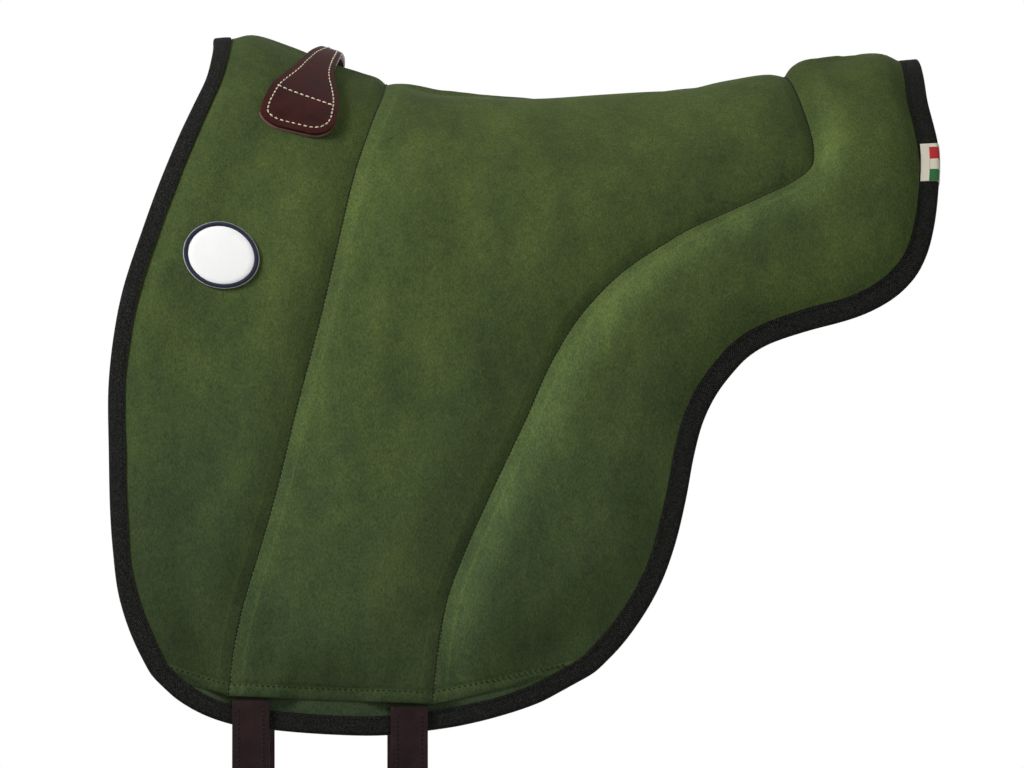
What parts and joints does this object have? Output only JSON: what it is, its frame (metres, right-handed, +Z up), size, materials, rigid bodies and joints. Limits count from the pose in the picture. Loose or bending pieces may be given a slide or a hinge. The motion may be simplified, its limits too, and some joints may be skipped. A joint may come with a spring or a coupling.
{
  "type": "bareback pad",
  "caption": "Suede bareback riding pad that arches over a horse's back, with padded panels, bound edge, leather grab handle and hanging girth billets.",
  "frame": {"origin": "on the underside of the pad at the lowest place of its spine, half way along it, where it rests on the horse", "axes": "+X to the rear along the spine, +Y to the off (right) side, +Z up"},
  "size_m": [0.6345, 0.5224, 0.8656],
  "materials": {
    "green_suede": "soft brushed suede",
    "dark_suede": "soft brushed suede",
    "grey_felt": "felted",
    "foam": "open-cell padding",
    "black_tape": "woven tape",
    "webbing": "woven webbing",
    "brown_leather": "smooth bridle leather",
    "leather_underlayer": "smooth bridle leather",
    "patch_cloth": "embroidered cloth",
    "border_thread": "satin stitched thread",
    "tag_weave": "woven label"
  },
  "bodies": {
    "pad": {"badge_border": "border_thread", "badge_patch": "patch_cloth", "edge_binding": "black_tape", "front_cover": "green_suede", "front_foam": "foam", "front_girth_web": "webbing", "handle_backing": "leather_underlayer", "handle_strap": "brown_leather", "lining": "grey_felt", "near_front_billet_root": "brown_leather", "near_rear_billet_root": "brown_leather", "near_skirt_strip": "dark_suede", "off_front_billet_root": "brown_leather", "off_rear_billet_root": "brown_leather", "off_skirt_strip": "dark_suede", "rear_cover": "green_suede", "rear_foam": "foam", "rear_girth_web": "webbing", "seat_cover": "green_suede", "seat_foam": "foam", "woven_tag": "tag_weave"},
    "near_front_billet": {"near_front_billet_face": "brown_leather", "near_front_billet_back": "leather_underlayer"},
    "near_rear_billet": {"near_rear_billet_face": "brown_leather", "near_rear_billet_back": "leather_underlayer"},
    "off_front_billet": {"off_front_billet_face": "brown_leather", "off_front_billet_back": "leather_underlayer"},
    "off_rear_billet": {"off_rear_billet_face": "brown_leather", "off_rear_billet_back": "leather_underlayer"}
  },
  "joints": [
    {"name": "near_front_billet_lift", "type": "hinge", "parent": "pad", "child": "near_front_billet", "pos_m": [-0.24352, -0.21519, -0.44187], "axis": [-1, 0, 0], "range_deg": [0, 80]},
    {"name": "near_rear_billet_lift", "type": "hinge", "parent": "pad", "child": "near_rear_billet", "pos_m": [-0.12449, -0.21578, -0.44668], "axis": [-1, 0, 0], "range_deg": [0, 80]},
    {"name": "off_front_billet_lift", "type": "hinge", "parent": "pad", "child": "off_front_billet", "pos_m": [-0.24352, 0.21519, -0.44187], "axis": [1, 0, 0], "range_deg": [0, 80]},
    {"name": "off_rear_billet_lift", "type": "hinge", "parent": "pad", "child": "off_rear_billet", "pos_m": [-0.12449, 0.21578, -0.44668], "axis": [1, 0, 0], "range_deg": [0, 80]}
  ]
}
